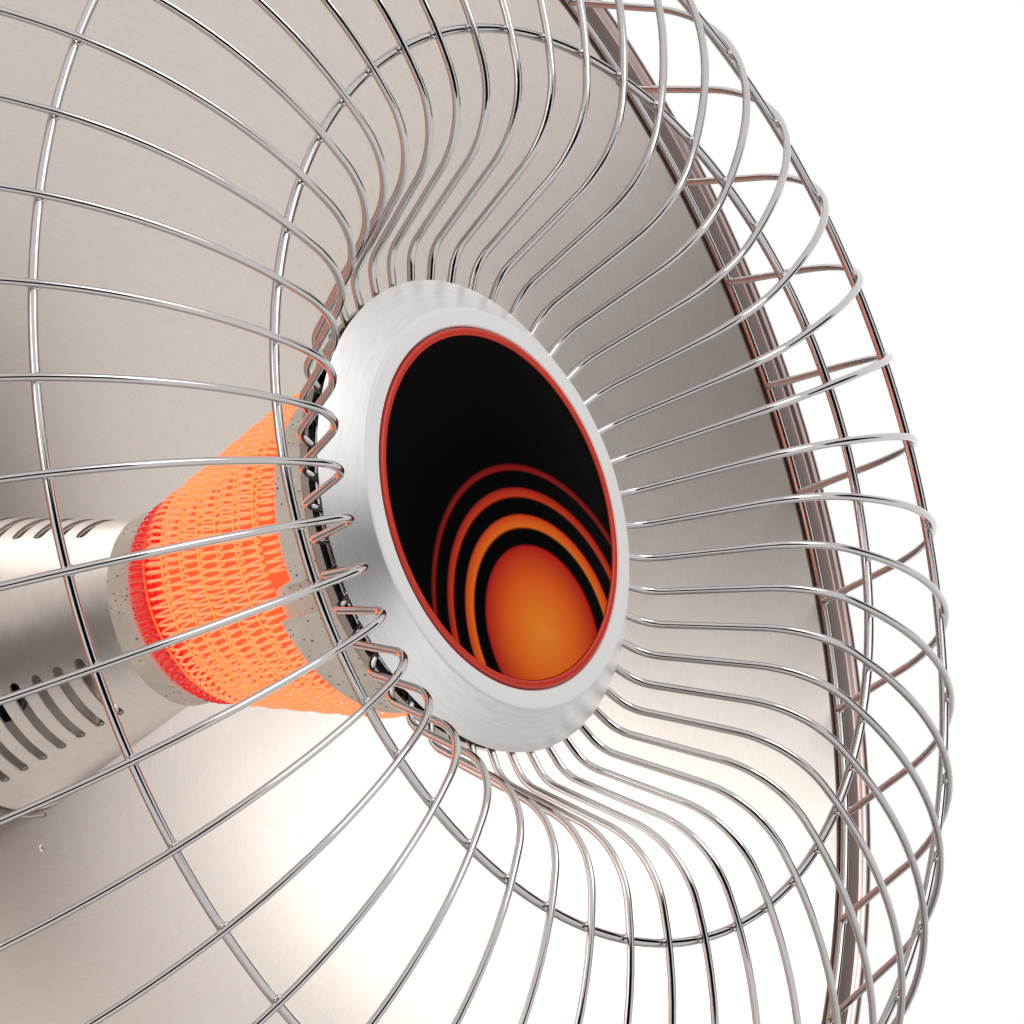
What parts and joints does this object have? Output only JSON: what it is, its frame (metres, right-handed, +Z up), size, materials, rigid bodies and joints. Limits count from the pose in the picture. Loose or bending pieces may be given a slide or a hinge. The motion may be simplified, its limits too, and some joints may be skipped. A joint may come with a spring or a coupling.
{
  "type": "parabolic heater",
  "caption": "Free-standing radiant heater: a dished reflector with a wound ceramic element and a domed wire guard, tilting in a yoke on a weighted base.",
  "frame": {"origin": "on the floor under the middle of the heater's outline", "axes": "+Z up, the heater faces -Y, +X to the right of someone facing it"},
  "size_m": [0.4518, 0.3202, 0.5856],
  "materials": {
    "dish_aluminium": "brushed in circles round the axis, satin",
    "cone_aluminium": "brushed, satin",
    "chromed_wire": "bright",
    "spun_steel": "spun, satin",
    "polished_steel": "polished",
    "black_enamel": null,
    "red_enamel": "gloss",
    "steatite": "unglazed, fine speckle",
    "glowing_alloy": "red-hot resistance wire, drawn as a coiled coil",
    "zinc_plate": "zinc plated",
    "dark_plastic": "fine texture",
    "grey_plastic": "fine texture",
    "black_plastic": "satin",
    "pale_nylon": "moulded",
    "amber_lens": "tinted, glossy",
    "powder_coat": "powder coated",
    "cast_iron": "as cast",
    "foot_rubber": "matt",
    "lead_sleeve": "woven glass sleeve"
  },
  "bodies": {
    "base_stand": {"yoke": "powder_coat", "column_tube": "zinc_plate", "column_front": "grey_plastic", "column_rear": "grey_plastic", "base_cover": "grey_plastic", "base_plate": "zinc_plate", "ballast_weight": "cast_iron", "rubber_foot_1": "foot_rubber", "rubber_foot_2": "foot_rubber", "rubber_foot_3": "foot_rubber", "rubber_foot_4": "foot_rubber", "friction_washer_left": "pale_nylon", "friction_washer_right": "pale_nylon", "pivot_cap_left": "black_plastic", "pivot_cap_right": "black_plastic"},
    "heater_head": {"reflector_dish": "dish_aluminium", "reflector_cone": "cone_aluminium", "wire_guard": "chromed_wire", "hub_cap": "spun_steel", "hub_retainer": "polished_steel", "medallion_plate": "black_enamel", "medallion_ring": "red_enamel", "front_ceramic_collar": "steatite", "element_core": "steatite", "rear_ceramic_ring": "steatite", "heating_winding": "glowing_alloy", "tie_rod": "zinc_plate", "tie_nut_front": "zinc_plate", "tie_nut_rear": "zinc_plate", "heat_shield": "zinc_plate", "dish_standoff_1": "zinc_plate", "dish_standoff_2": "zinc_plate", "dish_standoff_3": "zinc_plate", "guard_clip_1": "zinc_plate", "guard_clip_2": "zinc_plate", "guard_clip_3": "zinc_plate", "guard_clip_4": "zinc_plate", "cover_screw_1": "zinc_plate", "cover_screw_2": "zinc_plate", "cover_screw_3": "zinc_plate", "cover_screw_4": "zinc_plate", "pivot_bolt_left": "zinc_plate", "pivot_bolt_right": "zinc_plate", "rear_housing": "dark_plastic", "back_cover": "dark_plastic", "carry_handle": "black_plastic", "power_switch_body": "black_plastic", "cord_inlet_bushing": "black_plastic", "tip_over_switch": "black_plastic", "alarm_buzzer": "black_plastic", "thermal_cutout": "black_plastic", "thermostat_body": "pale_nylon", "terminal_block": "pale_nylon", "indicator_lens": "amber_lens", "element_lead_left": "lead_sleeve", "element_lead_right": "lead_sleeve"},
    "thermostat_control": {"thermostat_knob": "black_plastic", "thermostat_shaft": "zinc_plate"},
    "power_switch": {"power_rocker": "black_plastic"}
  },
  "joints": [
    {"name": "head_tilt", "type": "hinge", "parent": "base_stand", "child": "heater_head", "pos_m": [0, 0.09672, 0.327], "axis": [-1, 0, 0], "range_deg": [-22.5, 7.5]},
    {"name": "thermostat_turn", "type": "hinge", "parent": "heater_head", "child": "thermostat_control", "pos_m": [0, 0.12369, 0.29202], "axis": [0, -0.9239, 0.3827], "range_deg": [0, 270]},
    {"name": "power_rock", "type": "hinge", "parent": "heater_head", "child": "power_switch", "pos_m": [-0.036, 0.13745, 0.33178], "axis": [1, 0, 0], "range_deg": [0, 16]}
  ]
}
